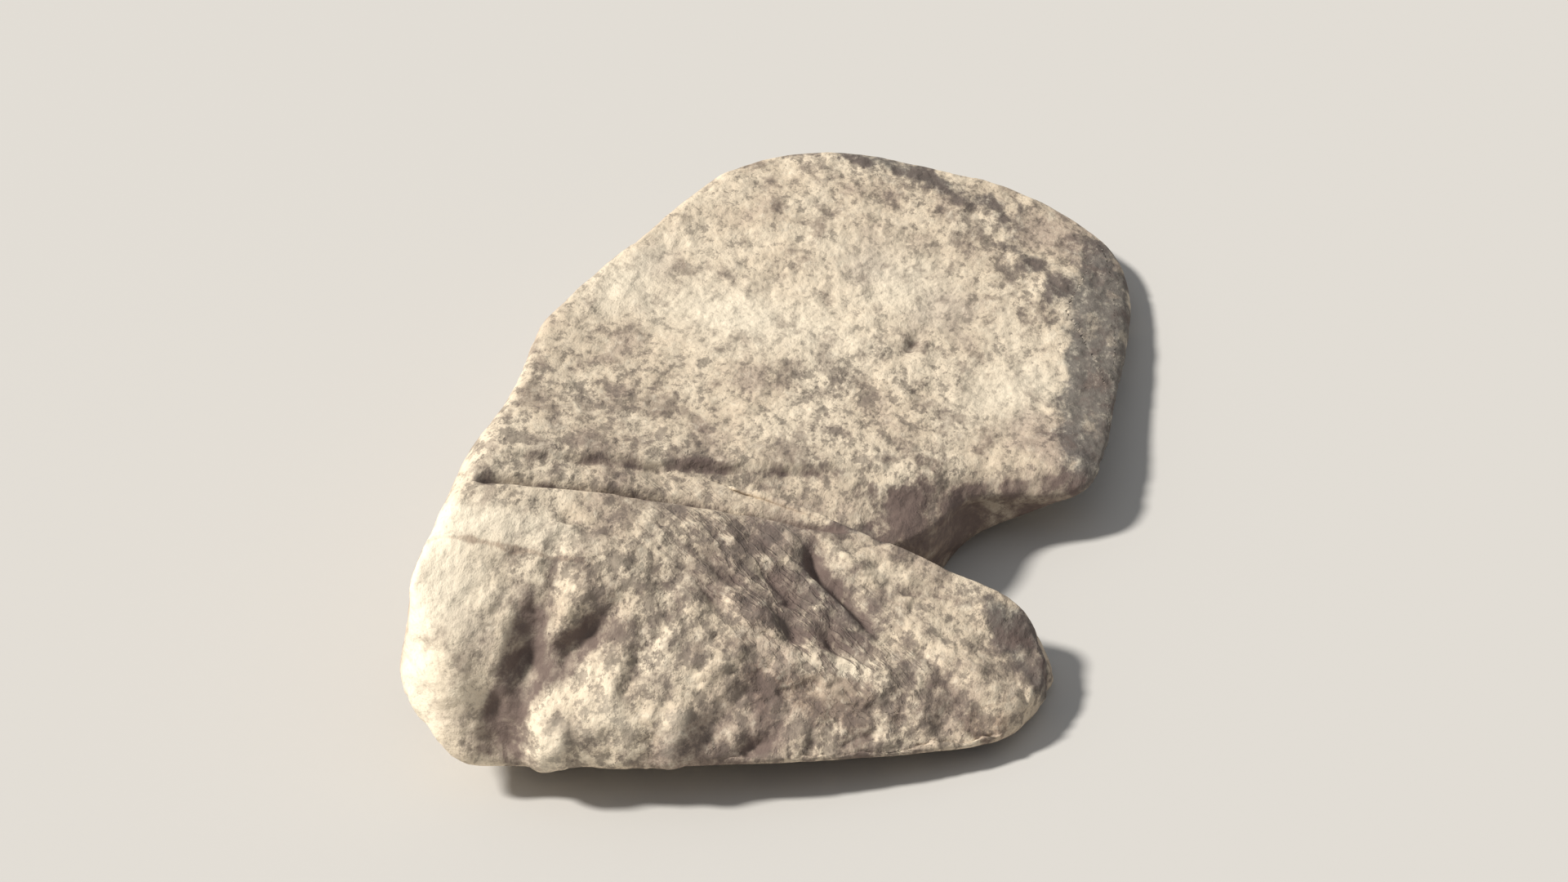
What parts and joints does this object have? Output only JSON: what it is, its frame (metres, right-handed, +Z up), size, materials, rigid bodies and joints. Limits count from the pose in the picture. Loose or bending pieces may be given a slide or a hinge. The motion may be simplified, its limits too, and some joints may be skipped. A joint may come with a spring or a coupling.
{
  "type": "fallen standing stone",
  "caption": "Pale bedded standing stone, fallen and lying on its side: a leaning flat slab with a rounded fore lobe and a wedge-shaped split between them.",
  "frame": {"origin": "middle of the bounding box, at the level of the flat bearing face", "axes": "+Y along the stone from its broad fore end to its far end, +X to the thin split side, +Z up from the ground"},
  "size_m": [0.8725, 1.8208, 0.3404],
  "materials": {
    "stone": "matte"
  },
  "bodies": {
    "root": {"stone": "stone"}
  },
  "joints": []
}
